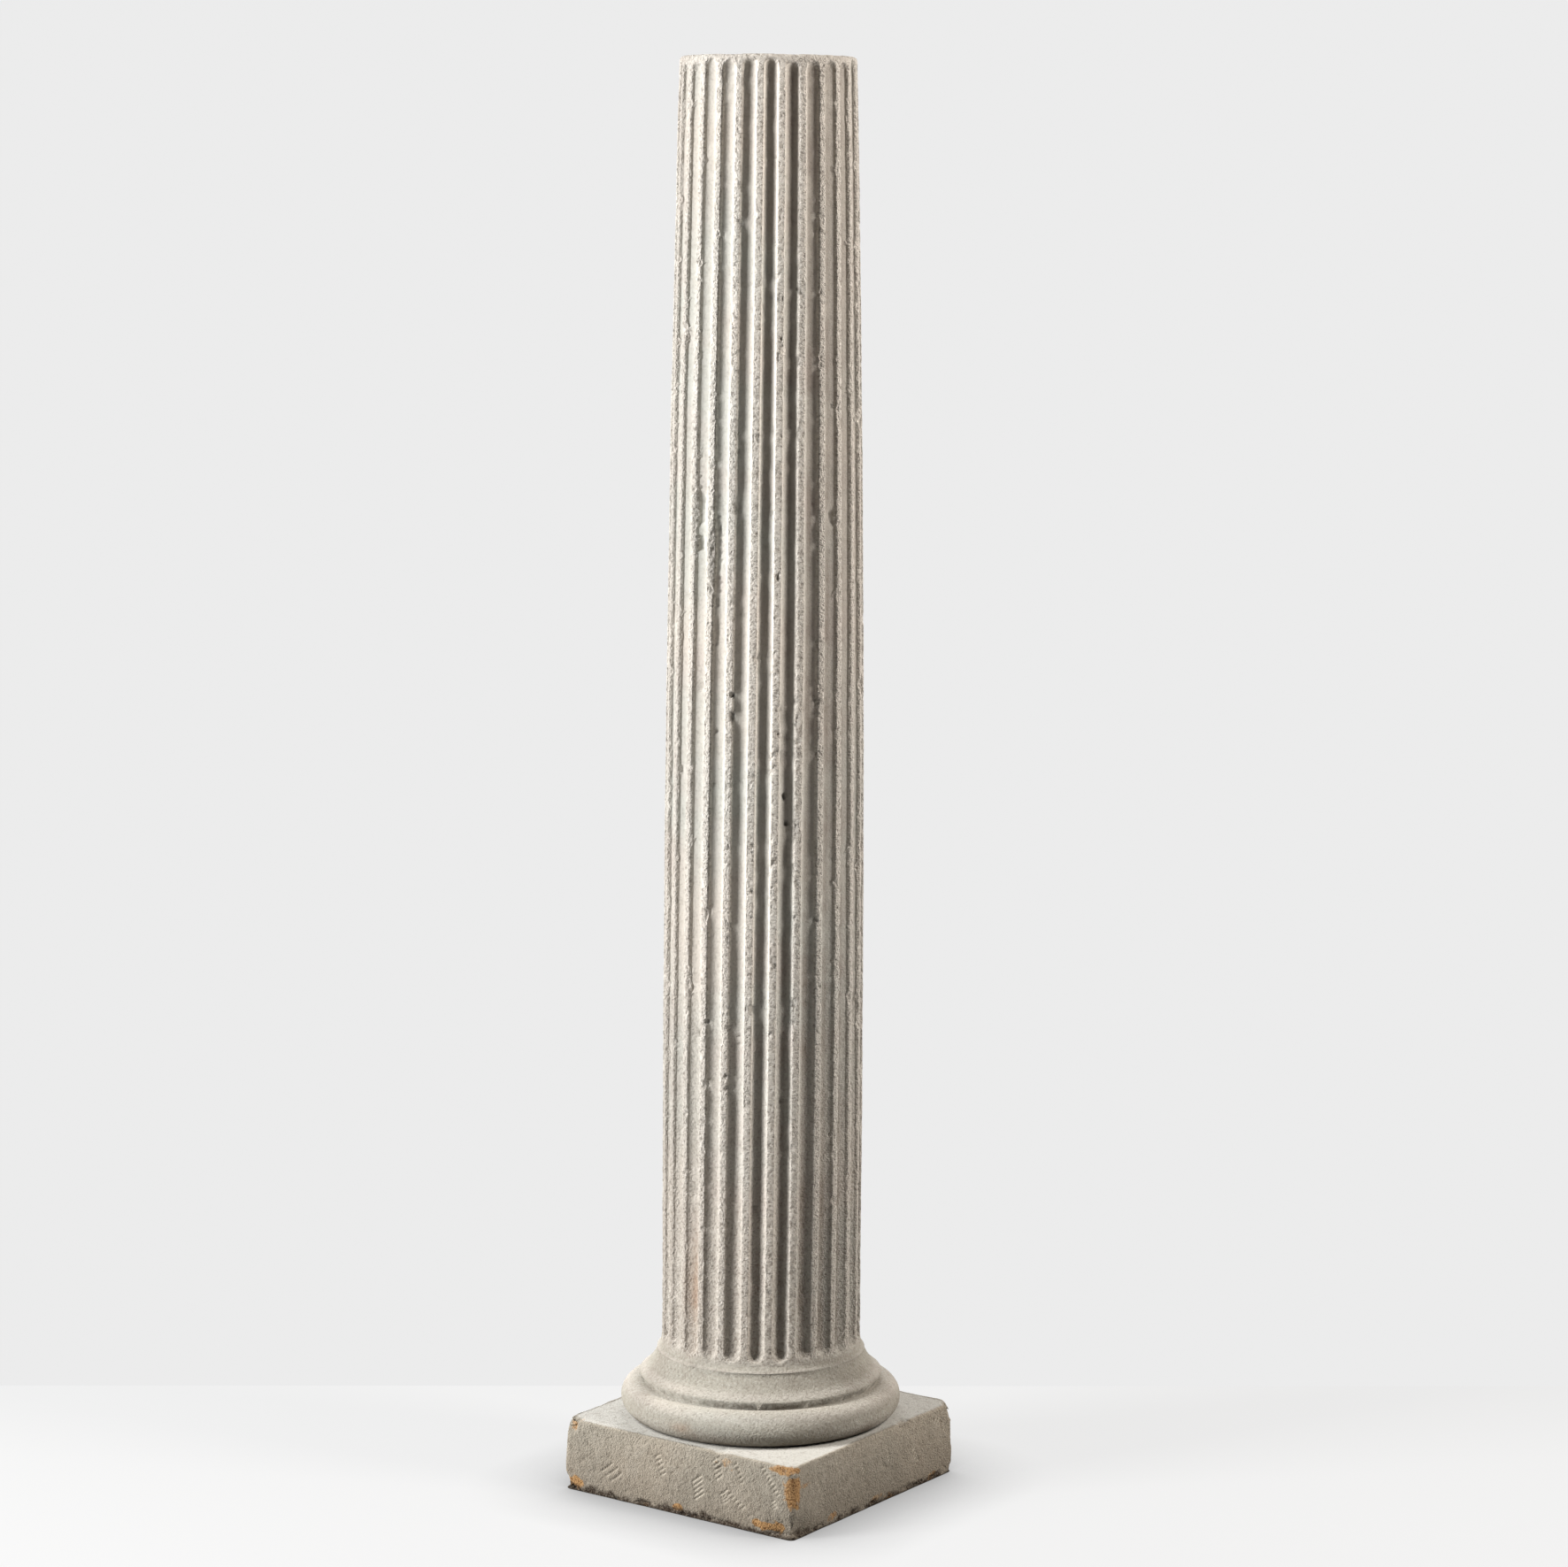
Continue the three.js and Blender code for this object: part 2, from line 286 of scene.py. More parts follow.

# Dirt, painted shade and painted highlights on the column: turns in degrees to the right of the view,
# heights in mm, places in half flutes
DIRT_FOOT = (FLUTE_BOTTOM_END - 6, FLUTE_BOTTOM_END + 4)
# The side of the view away from the key light, where the flutes and the base get painted shade
SHADED_SIDE_START = (-25, 25)
SHADED_SIDE_END = (175, 120)
FLUTE_DIRT_AND_SHADE_PLACES = (0.8, 0.15)
WALL_PLACES = (0.98, 0.86)
# Where on the fillets the far-left darkening goes
FAR_LEFT_PLACES = (0.9, 1.1)
# Flute hollows: a little dirt and painted shade all round, more painted shade on the side away from the
# key light, and dirt low down
FLUTE_DIRT_AND_SHADE = 0.05
SHADED_SIDE_FLUTE_SHADE = 0.5
LOW_GRIME = 0.15
LOW_GRIME_HEIGHTS = (900, 200)
# Dirt and painted shade on the torus where it turns down, and painted shade on the base's side away
# from the key light
TORUS_UNDERSIDE_DIRT_AND_SHADE = 0.75
TORUS_UNDERSIDE_HEIGHTS = (120, 97)
SHADED_SIDE_BASE_SHADE = 0.3
STREAK_LUMP = 12
STREAK_STRETCH = (0.25, 0.25, 1.6)
STREAK_MEAN = 0.8
STREAK_SWAY = 0.4
# Painted shade with some dirt in the hollow under the lip, growing towards the right of the view
UNDER_LIP_SHADE_AND_DIRT = 0.5
UNDER_LIP_HEIGHT = 139
UNDER_LIP_SPREAD = 5
UNDER_LIP_RADII = (LIP_RADIUS + 2.5, LIP_RADIUS - 2.5)
UNDER_LIP_TURNS = (-40, 0)
# Painted shade with some dirt inside the deeper losses and cracks
SCAR_SHADE_AND_DIRT = 0.15
SCAR_SHADE_DEPTHS = (1.2, 3.5)
# Fillets and mouldings darker towards the far left of the view, the side that faces the key light
FILLET_FAR_LEFT_DARKENING = 0.32
BASE_FAR_LEFT_DARKENING = 0.34
FAR_LEFT_TURN = -72
FAR_LEFT_SPREAD = 22
STAIN = {"turn": -44, "turn_spread": 5, "height": 275, "height_spread": 60}
STAIN_STRENGTH = 0.5
DRIP = {"turn": -34, "turn_spread": 4, "height": 113, "height_spread": 7}
DRIP_STRENGTH = 0.4
# Painted highlights where the cincture's bead, the torus top and the foot of the slope face up into the
# light
BEAD_HEIGHT = 179.4
BEAD_SPREAD = 1.5
BEAD_RADII = (CINCTURE_RADIUS - 3, CINCTURE_RADIUS - 2)
TORUS_TOP_HEIGHT = 131
TORUS_TOP_SPREAD = 6
TORUS_TOP_RADII = (150, 156)
SLOPE_FOOT_HEIGHT = 152
SLOPE_FOOT_SPREAD = 4
PAINTED_TOP_HIGHLIGHT = 0.9

# Noise
LATTICE_SIZE = 64
LATTICE = np.random.default_rng(1810).random((LATTICE_SIZE,) * 3)
LAYER_STEP = np.array([17.31, 9.73, 23.57])
NOISE_TURN = np.array(Matrix.Rotation(0.7, 3, Vector((0.5, 0.8, 0.3))))


def noise(points, lump, layer):
    """Smooth noise from -1 to 1 with lumps of that size in mm, and another pattern for each layer."""
    spot = points @ NOISE_TURN.T / lump + LAYER_STEP * layer
    base = np.floor(spot).astype(int)
    part = spot - base
    part = part * part * (3 - 2 * part)
    total = np.zeros(points.shape[:-1])
    for corner in itertools.product((0, 1), repeat=3):
        share = np.ones(points.shape[:-1])
        for axis, side in enumerate(corner):
            share = share * (part[..., axis] if side else 1 - part[..., axis])
        cell = (base + corner) % LATTICE_SIZE
        total += share * LATTICE[cell[..., 0], cell[..., 1], cell[..., 2]]
    return 2 * total - 1


def rough(points, lump, layer, octaves=3):
    """Noise with finer and weaker noise on top of it."""
    return sum(noise(points, lump / 2**step, layer + step) / 2**step for step in range(octaves))


def ease(value, low, high):
    """A smooth step from 0 at low to 1 at high."""
    share = np.clip((value - low) / (high - low), 0, 1)
    return share * share * (3 - 2 * share)


def hump(value, middle, spread):
    """A smooth hump that is 1 at the middle and fades over the spread."""
    return np.exp(-(((value - middle) / spread) ** 2))


def gap(value, start, depth):
    """Only what a rough value has above the start, as a share of the depth, from 0 to 1."""
    return np.clip((value - start) / depth, 0, 1)


def from_view(turn):
    """Degrees to the right of the view for a turn about the axis."""
    return (turn - VIEW_TURN + 180) % 360 - 180


def soft_floor(value, softness):
    """The value where it is above nought, with a rounded turn at nought."""
    return (value + np.sqrt(value * value + 4 * softness * softness)) / 2


# Shape of the column
def shaft_radius(height):
    """Radius of the fillets, with a flare at the foot and a slow taper above."""
    rise = np.clip(1 - (height - CINCTURE_TOP) / (FLARE_TOP - CINCTURE_TOP), 0, 1)
    flare = FLARE_RADIUS - (FLARE_RADIUS - SHAFT_FOOT_RADIUS) * np.sin(np.arccos(rise))
    climb = np.clip((height - SWELL_START) / (TOP - SWELL_START), 0, 1)
    taper = SHAFT_FOOT_RADIUS - (SHAFT_FOOT_RADIUS - SHAFT_TOP_RADIUS) * climb**2
    return np.where(height < FLARE_TOP, flare, taper)


def lean(height):
    """Degrees that the flutes have turned about the axis at a height."""
    return LEAN_PER_METRE * (height - UPRIGHT_HEIGHT) / 1000


def flute_place(turn, height, wander=0.0):
    """How far a point is from the middle of its flute, with round ends; 1 is the flute's edge."""
    pitches = (turn - lean(height)) / PITCH
    flute = np.floor(pitches).astype(int) % FLUTE_COUNT
    across = (pitches % 1 - 0.5) * 2 / (1 - FILLET_SHARE) + wander
    below = np.maximum(0, LOWER_CENTRE + FLUTE_RISES[flute] - height) / LOWER_HALF_WIDTH
    above = np.maximum(0, height - UPPER_CENTRE + FLUTE_DROPS[flute]) / UPPER_HALF_WIDTH
    return np.sqrt(across**2 + below**2 + above**2)


def flute_hollow(place):
    """Depth of a flute as a share of its middle, and how far the wall would rise past its edge."""
    reach = 1 / math.sin(HALF_TURN)
    drop = reach * math.cos(HALF_TURN)
    inside = np.sqrt(np.maximum(reach**2 - np.minimum(place, 1) ** 2, 0)) - drop
    wall_slope = math.tan(HALF_TURN)
    return np.where(place < 1, inside, (1 - place) * wall_slope) / (reach - drop)


def arc_points(centre_radius, centre_height, wide, tall, start, end, count):
    """Points of an elliptic arc in the profile, angles in degrees above the horizontal."""
    angles = np.radians(np.linspace(start, end, count))
    return [(centre_radius + wide * math.cos(a), centre_height + tall * math.sin(a)) for a in angles]


def line_points(start, end, count, sag=0.0):
    """Points after the start of a line in the profile, which may sag inwards."""
    shares = np.linspace(0, 1, count + 1)[1:]
    return [
        (
            start[0] + (end[0] - start[0]) * s - sag * math.sin(math.pi * s),
            start[1] + (end[1] - start[1]) * s - sag * math.sin(math.pi * s),
        )
        for s in shares
    ]


def column_profile():
    """The column's outline as radius and height, from the bed joint up to the rim and over the top."""
    middle = TORUS_RADIUS - TORUS_ROUND
    torus_height = BED + TORUS_ROUND
    foot_turn = math.degrees(math.acos((FILLET_FOOT_RADIUS - middle) / TORUS_ROUND))
    points = [(share * middle, BED) for share in (0.3, 0.6, 0.85)]
    points += arc_points(middle, torus_height, TORUS_ROUND, TORUS_ROUND, -90, 0, 18)
    points += arc_points(middle, torus_height, TORUS_ROUND, TORUS_UPPER_RISE, 0, foot_turn, 20)[1:]
    lip_low = (LIP_RADIUS - CINCTURE_ROUND, LIP_HEIGHT - LIP_THICKNESS)
    lip_high = (LIP_RADIUS - CINCTURE_ROUND, LIP_HEIGHT)
    points += line_points(points[-1], lip_low, 5)
    points += [(LIP_RADIUS, LIP_HEIGHT - LIP_THICKNESS / 2), lip_high]
    cincture_low = (CINCTURE_RADIUS - CINCTURE_ROUND, CINCTURE_BOTTOM)
    points += line_points(lip_high, cincture_low, 16, CAVETTO_SAG)
    points += [
        (CINCTURE_RADIUS, CINCTURE_BOTTOM + CINCTURE_ROUND),
        (CINCTURE_RADIUS, CINCTURE_TOP - CINCTURE_BEVEL),
        (CINCTURE_RADIUS - CINCTURE_GROOVE, CINCTURE_TOP),
    ]
    heights = np.concatenate([
        np.linspace(CINCTURE_TOP, FLARE_TOP, 10)[1:-1],
        np.arange(FLARE_TOP, TOP - RIM_WEAR, SHAFT_ROW),
    ])
    points += list(zip(shaft_radius(heights), heights))
    rim = SHAFT_TOP_RADIUS - RIM_WEAR
    points += arc_points(rim, TOP - RIM_WEAR, RIM_WEAR, RIM_WEAR, 0, 90, 6)
    points += [(share * rim, TOP) for share in np.linspace(0.97, 0.06, 30)]
    return np.array(points)


def profile_normals(profile):
    """Outward directions of the profile, as radial and upward parts."""
    along = np.gradient(profile, axis=0)
    out = np.stack([along[:, 1], -along[:, 0]], axis=1)
    return out / np.linalg.norm(out, axis=1, keepdims=True)


def column_turns():
    """Degrees about the axis of the mesh's upright lines, closer together at the flutes' edges."""
    fillet = FILLET_SHARE / 2 * FILLET_LINES
    flute = 0.5 + FLUTE_LINES * (1 - FILLET_SHARE) / 2
    one = np.concatenate([fillet, flute])
    return (np.arange(FLUTE_COUNT)[:, None] + one[None, :]).ravel() * PITCH


def scar_depth(turn, height, radius, points):
    """How deep the listed losses and cracks cut at each point, with ragged outlines."""
    ragged = 1
    for layer, lump, share in zip((31, 32), SCAR_LUMPS, SCAR_RAGGEDNESS):
        ragged = ragged + share * noise(points, lump, layer)
    depth = np.zeros(height.shape)
    for degrees, middle, half_width, half_height, deep in SCARS:
        near = abs(height[:, 0] - middle) < 2 * half_height
        away = from_view(turn[near] - degrees)
        sideways = np.radians(away) * radius[near] / half_width
        upward = (height[near] - middle) / half_height
        inside = 1 - np.sqrt(sideways**2 + upward**2) * ragged[near]
        depth[near] = np.maximum(depth[near], deep * ease(inside, 0, SCAR_SLOPE))
    for (first_turn, first_height), (last_turn, last_height) in CRACKS:
        share = np.clip((height - first_height) / (last_height - first_height), 0, 1)
        away = from_view(turn - first_turn - share * (last_turn - first_turn))
        past = height - first_height - share * (last_height - first_height)
        far = np.hypot(np.radians(away) * radius, past) * ragged
        depth = np.maximum(depth, CRACK_DEPTH * hump(far, 0, CRACK_HALF_WIDTH))
    return depth


def column_points():
    """Every point of the column's mesh in mm, as rows of rings."""
    profile = column_profile()
    normals = profile_normals(profile)
    height = profile[:, 1:2]
    ring = profile[:, 0:1]
    turn = column_turns()[None, :] + lean(height)
    angle = np.radians(turn)
    level = np.broadcast_to(height, turn.shape)
    plain = np.stack([ring * np.sin(angle), -ring * np.cos(angle), level], axis=-1)

    on_shaft = ease(level, *WEAR_FOOT)
    on_shaft = on_shaft * (ring > SHAFT_TOP_RADIUS - RIM_WEAR)
    half_width = ring * HALF_ANGLE
    wander = WANDER * noise(plain * WANDER_STRETCH, WANDER_LUMP, 1) / half_width
    place = flute_place(turn, level, wander)
    battered = ease(noise(plain, BATTERED_LUMP, 2), *BATTERED_SPAN) * ease(level, *BATTERED_HEIGHTS)
    eroded = hump(from_view(turn), ERODED_TURN, ERODED_SPREAD) * ease(level, *ERODED_HEIGHTS)
    softness = EDGE_SOFTNESS * (PLAIN_EDGE + BATTERED_EDGE * battered + ERODED_EDGE * eroded)
    hollow = FLUTE_DEPTH_SHARE * half_width * flute_hollow(place) * (1 - ERODED_FILL * eroded)
    cut = soft_floor(hollow, softness) * on_shaft

    edge = hump((place - EDGE_PLACE) * half_width, 0, EDGE_BAND) * on_shaft
    bite = gap(rough(plain * BITE_STRETCH, BITE_LUMP, 3), *BITE_GAP)
    cut = cut + (PLAIN_BITE + BATTERED_BITE * battered) * BITE_DEPTH * bite * edge
    fillet = ease(place, *FILLET_SPAN) * on_shaft
    pock = gap(rough(plain, POCK_LUMP, 7), *POCK_GAP)
    cut = cut + fillet * (POCK_DEPTH * pock + FILLET_GRAIN_DEPTH * rough(plain, FILLET_GRAIN, 10, 2))
    cut = cut + SKIN_DEPTH * rough(plain, SKIN_LUMP, 13, 2) + SWAY_DEPTH * noise(plain, SWAY_LUMP, 15)
    cut = cut + scar_depth(turn, level, np.broadcast_to(ring, turn.shape), plain) * on_shaft

    rim = ease(level, *RIM_BAND) * (ring > RIM_SHARE * SHAFT_TOP_RADIUS)
    cut = cut + rim * RIM_LOSS * gap(rough(plain, RIM_LUMP, 17), *RIM_GAP)
    worn_bead = hump(turn - VIEW_TURN, WORN_BEAD_TURN, WORN_BEAD_SPREAD)
    worn_bead = worn_bead * (abs(level - WORN_BEAD_HEIGHT) < WORN_BEAD_HALF_HEIGHT)
    cut = cut + WORN_BEAD_DEPTH * worn_bead
    cut = cut * ease(level, *BED_BAND)

    out = normals[:, None, 0:1] * np.stack([np.sin(angle), -np.cos(angle)], axis=-1)
    upward = np.broadcast_to(normals[:, None, 1:2], turn.shape + (1,))
    return plain - cut[..., None] * np.concatenate([out, upward], axis=-1)


def ring_triangles(rows, columns):
    """Triangles of a closed tube of rings, with a fan to a middle point at each end."""
    row = np.arange(rows - 1)[:, None] * columns
    here = np.arange(columns)[None, :]
    after = (here + 1) % columns
    low, low_next = row + here, row + after
    high, high_next = low + columns, low_next + columns
    sides = [np.stack([low, low_next, high_next], -1), np.stack([low, high_next, high], -1)]
    bottom_middle, top_middle = rows * columns, rows * columns + 1
    last = (rows - 1) * columns
    bottom = np.stack([after[0], here[0], np.full(columns, bottom_middle)], -1)
    top = np.stack([last + here[0], last + after[0], np.full(columns, top_middle)], -1)
    return np.concatenate([part.reshape(-1, 3) for part in (*sides, bottom, top)])


# Shape of the plinth
def box_lattice(counts):
    """Whole-number points on the skin of a box of cells, without doubles, and its triangles."""
    corners = []
    for axis in range(3):
        first, second = [a for a in range(3) if a != axis]
        u, v = np.meshgrid(np.arange(counts[first]), np.arange(counts[second]), indexing="ij")
        for side in (0, counts[axis]):
            quad = np.zeros(u.shape + (4, 3), int)
            quad[..., axis] = side
            for step, (du, dv) in enumerate(((0, 0), (1, 0), (1, 1), (0, 1))):
                quad[..., step, first] = u + du
                quad[..., step, second] = v + dv
            turned_out = (side > 0) == (axis != 1)
            corners.append((quad if turned_out else quad[..., ::-1, :]).reshape(-1, 4, 3))
    corners = np.concatenate(corners)
    points, index = np.unique(corners.reshape(-1, 3), axis=0, return_inverse=True)
    quads = index.reshape(-1, 4)
    return points, np.concatenate([quads[:, [0, 1, 2]], quads[:, [0, 2, 3]]])


def face_places(points):
    """For each side face: mm along it from its left end, and a mask of the points that lie on it."""
    x, y = points[:, 0], points[:, 1]
    names = {"left": (x, -y), "right": (y, x), "back": (-x, y), "far": (-y, -x)}
    return {
        name: (along + PLINTH_HALF, out > PLINTH_HALF - FACE_SKIN)
        for name, (along, out) in names.items()
    }


def stray_claw_groups(seed):
    """Claw strokes for a hidden face, in the manner of the seen ones."""
    draw = np.random.default_rng(seed)
    groups = []
    for _ in range(STRAY_CLAW_GROUPS):
        along = draw.uniform(*STRAY_CLAW_ALONG)
        up = draw.uniform(*STRAY_CLAW_UP)
        count = int(draw.integers(*STRAY_CLAW_COUNTS))
        last = (along + STRAY_CLAW_STEP[0] * count, up + STRAY_CLAW_STEP[1] * count)
        length = draw.uniform(*STRAY_CLAW_LENGTHS)
        slant = draw.uniform(*STRAY_CLAW_SLANTS)
        groups.append(((along, up), last, count, length, slant))
    return groups


def stroke_depth(along, up, groups):
    """Depth of rows of short slanting chisel strokes on a face."""
    depth = np.zeros(along.shape)
    for first, last, count, length, slant in groups:
        tilt = math.radians(slant)
        for share in np.linspace(0, 1, count):
            middle = np.array(first) + (np.array(last) - np.array(first)) * share
            right, rise = along - middle[0], up - middle[1]
            lengthwise = right * math.cos(tilt) + rise * math.sin(tilt)
            sideways = rise * math.cos(tilt) - right * math.sin(tilt)
            ends = ease(length / 2 - abs(lengthwise), *CLAW_END_SPAN)
            depth = np.maximum(depth, CLAW_DEPTH * ends * hump(sideways, 0, CLAW_HALF_WIDTH))
    return depth


def claw_depth(points):
    """Depth of the chisel strokes on all four sides of the plinth."""
    depth = np.zeros(len(points))
    known = {"left": LEFT_CLAWS, "right": RIGHT_CLAWS}
    for seed, (name, (along, on_face)) in enumerate(face_places(points).items()):
        groups = known.get(name) or stray_claw_groups(seed)
        depth[on_face] = stroke_depth(along[on_face], points[on_face, 2], groups)
    return depth


def corner_depth(points):
    """How deep the stone lost at corners and edges cuts, with ragged outlines."""
    ragged = 1 + CORNER_RAGGEDNESS * rough(points, CORNER_RAGGED_LUMP, 55)
    depth = np.zeros(len(points))
    for place, reach, deep in CORNER_LOSSES:
        far = np.linalg.norm(points - np.array(place), axis=1) * ragged
        depth = np.maximum(depth, deep * ease(far, reach, CORNER_FULL_SHARE * reach))
    return depth


def rounded_square(x, y, radius):
    """Points pushed out to a square edge with round corners, the way out, and how far out they were."""
    share = np.maximum(np.maximum(abs(x), abs(y)) / PLINTH_HALF, 1e-6)
    edge = np.stack([x / share, y / share], axis=1)
    inner = np.clip(edge, -(PLINTH_HALF - radius)[:, None], (PLINTH_HALF - radius)[:, None])
    away = edge - inner
    length = np.maximum(np.linalg.norm(away, axis=1, keepdims=True), 1e-9)
    return inner + away / length * radius[:, None], away / length, share


def plinth_points(lattice, counts):
    """The plinth's points in mm: a worn block with tooled sides and a ragged foot."""
    flat = lattice / np.array(counts)
    x = (2 * flat[:, 0] - 1) * PLINTH_HALF
    y = (2 * flat[:, 1] - 1) * PLINTH_HALF
    z = flat[:, 2] * PLINTH_HEIGHT
    plain = np.stack([x, y, z], axis=1)

    corner_wear = PLINTH_CORNER_WEAR + CORNER_SWAY * noise(plain, CORNER_LUMP, 40)
    ring, out, share = rounded_square(x, y, corner_wear)
    wear = PLINTH_EDGE_WEAR
    for layer, lump, sway in zip((41, 42), EDGE_LUMPS, EDGE_SWAYS):
        wear = wear + sway * noise(plain, lump, layer)
    reach = share * PLINTH_HALF
    inner_reach = np.minimum(reach, PLINTH_HALF - wear)
    inner_up = np.clip(z, wear, PLINTH_HEIGHT - wear)
    aside, upward = reach - inner_reach, z - inner_up
    length = np.maximum(np.hypot(aside, upward), 1e-9)
    reach = inner_reach + aside / length * wear
    z = inner_up + upward / length * wear
    side = aside / length
    points = np.concatenate([ring * (reach / PLINTH_HALF)[:, None], z[:, None]], axis=1)
    normal = np.concatenate([out * side[:, None], (upward / length)[:, None]], axis=1)

    cut = np.zeros(len(plain))
    for layer, octaves, lump, deep in zip((43, 44, 47), (1, 3, 2), FACE_LUMPS, FACE_DEPTHS):
        cut = cut + deep * rough(plain, lump, layer, octaves)
    pits = gap(rough(plain, PLINTH_PIT_LUMP, 50), *PLINTH_PIT_GAP)
    cut = cut * (FLAT_SHARE + (1 - FLAT_SHARE) * side) + PLINTH_PIT_DEPTH * pits * side
    cut = cut + claw_depth(plain) * side + corner_depth(plain)
    ragged = np.clip(rough(plain * FOOT_STRETCH, FOOT_LUMP, 52) + FOOT_LIFT, 0, FOOT_MOST)
    cut = cut + FOOT_LOSS * ragged * ease(plain[:, 2], FOOT_RISE, 1) * side
    short_of_corner = PLINTH_HALF * math.sqrt(2) - (plain[:, 0] - plain[:, 1]) / math.sqrt(2)
    corner_near = ease(short_of_corner, *CHIP_SPAN)
    cut = cut + CHIP_DEPTH * corner_near * ease(plain[:, 2], CHIP_HEIGHT, 4) * side
    bare = np.maximum(side, ease(np.hypot(x, y), BED_RADIUS, BED_RADIUS + 12)) * (plain[:, 2] > 0)
    points = points - (cut * bare)[:, None] * normal
    points[:, 2] = np.where(plain[:, 2] <= 0, 0, np.maximum(points[:, 2], 0))
    return points


# Meshes
def new_mesh_piece(name, points, triangles):
    """A mesh object of these points in mm and triangles."""
    mesh = bpy.data.meshes.new(name)
    mesh.vertices.add(len(points))
    mesh.vertices.foreach_set("co", (points * MM).astype(np.float32).ravel())
    mesh.loops.add(triangles.size)
    mesh.loops.foreach_set("vertex_index", triangles.astype(np.int32).ravel())
    mesh.polygons.add(len(triangles))
    mesh.polygons.foreach_set("loop_start", np.arange(0, triangles.size, 3, dtype=np.int32))
    mesh.update(calc_edges=True)
    mesh.validate()
    piece = bpy.data.objects.new(name, mesh)
    bpy.context.scene.collection.objects.link(piece)
    return piece


def thin_out(piece, triangles):
    """Fewer triangles where the surface is even, the same where it is broken."""
    modifier = piece.modifiers.new("thin_out", "DECIMATE")
    modifier.ratio = min(1, triangles / len(piece.data.polygons))
    bpy.context.view_layer.objects.active = piece
    bpy.ops.object.modifier_apply(modifier=modifier.name)
    piece.data.polygons.foreach_set("use_smooth", np.ones(len(piece.data.polygons), bool))


def mesh_points(piece):
    """The points of a piece's mesh, in mm."""
    flat = np.zeros(len(piece.data.vertices) * 3, np.float32)
    piece.data.vertices.foreach_get("co", flat)
    return flat.reshape(-1, 3).astype(float) / MM


def paint(piece, **masks):
    """Keeps weathering masks, painted shade and painted highlights on the mesh, under their names, for
    its material.
    """
    for name, mask in masks.items():
        layer = piece.data.attributes.new(name, "FLOAT", "POINT")
        layer.data.foreach_set("value", mask.clip(0, 1).astype(np.float32))


def patch_mask(along, up, patches, points, layer):
    """Ragged patches of rust on a face."""
    ragged = 1 + RUST_RAGGEDNESS * rough(points, RUST_LUMP, layer)
    mask = np.zeros(along.shape)
    for middle, height, half_length, half_height, strength in patches:
        far = np.hypot((along - middle) / half_length, (up - height) / half_height) * ragged
        mask = np.maximum(mask, strength * ease(far, *RUST_FADE))
    return mask


